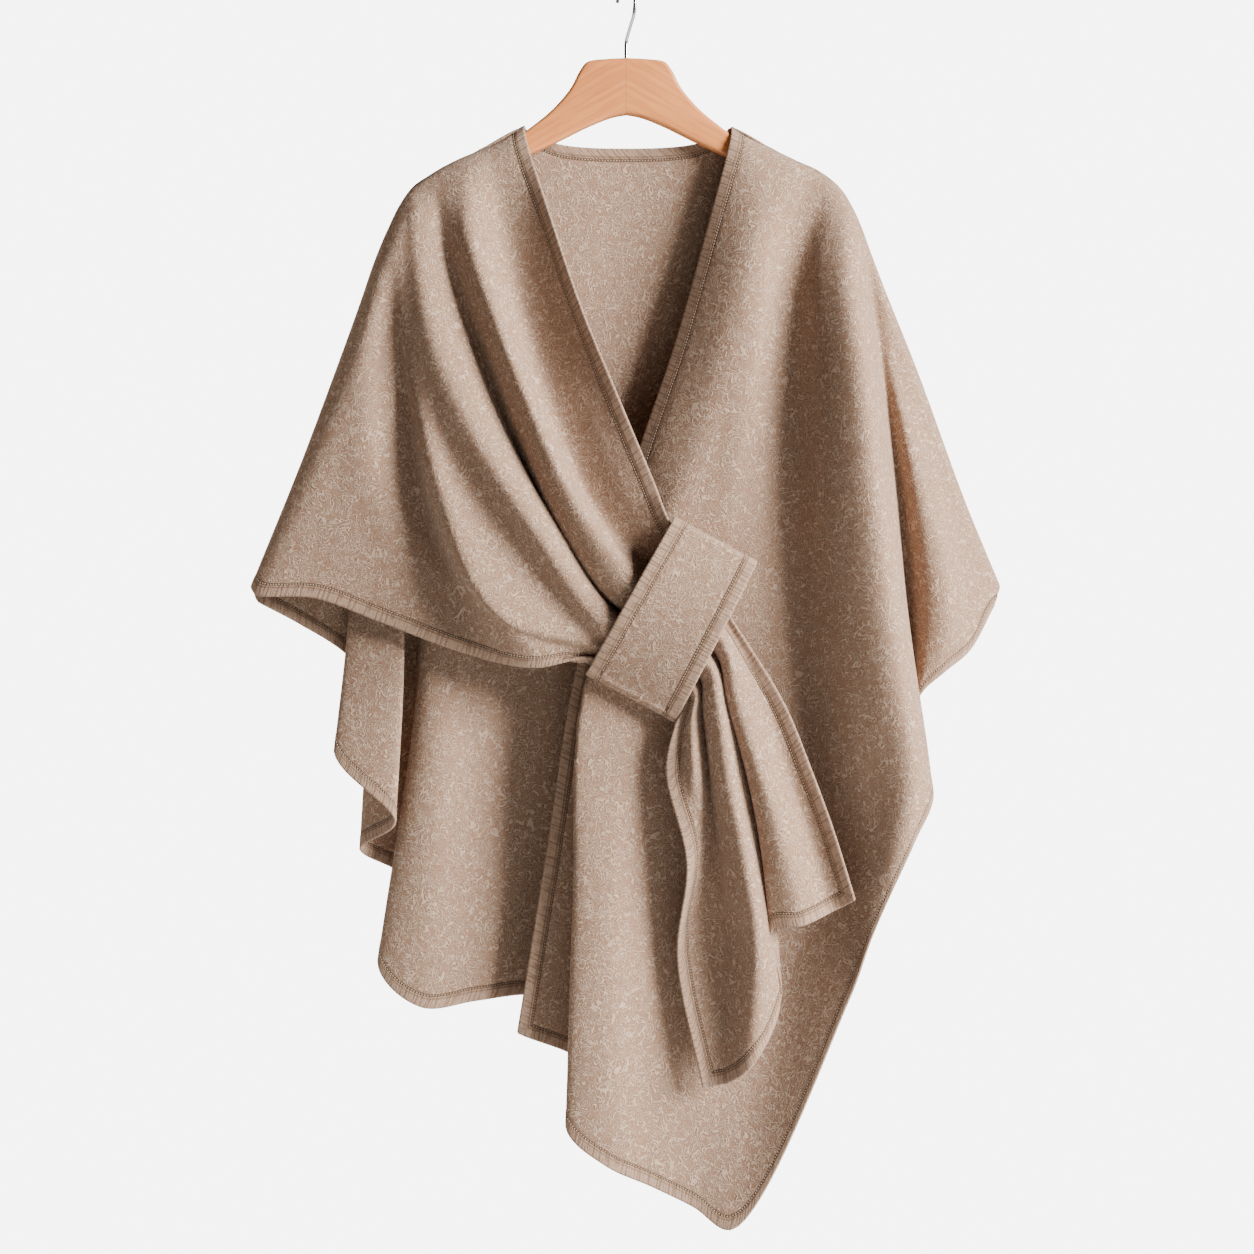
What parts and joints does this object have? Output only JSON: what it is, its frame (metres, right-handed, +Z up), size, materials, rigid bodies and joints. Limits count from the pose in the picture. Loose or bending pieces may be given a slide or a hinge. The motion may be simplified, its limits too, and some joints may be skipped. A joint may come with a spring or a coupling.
{
  "type": "shawl cape on a clothes hanger",
  "caption": "Felted wool shawl cape with stitched edges, one front drawn through a band on the other, hanging on a wooden clothes hanger.",
  "frame": {"origin": "inside top of the hook, where a rail carries it", "axes": "+Z up, -Y towards the front of the cape, +X towards the viewer's right as seen from the front"},
  "size_m": [0.749, 0.1259, 1.2376],
  "materials": {
    "cloth": "felted wool, matt",
    "hanger_wood": "satin lacquer",
    "hook_steel": "polished"
  },
  "bodies": {
    "root": {"back_panel": "cloth", "wrap_front": "cloth", "right_front": "cloth", "loop_band": "cloth", "hanger_wood": "hanger_wood", "hanger_hook": "hook_steel"}
  },
  "joints": []
}
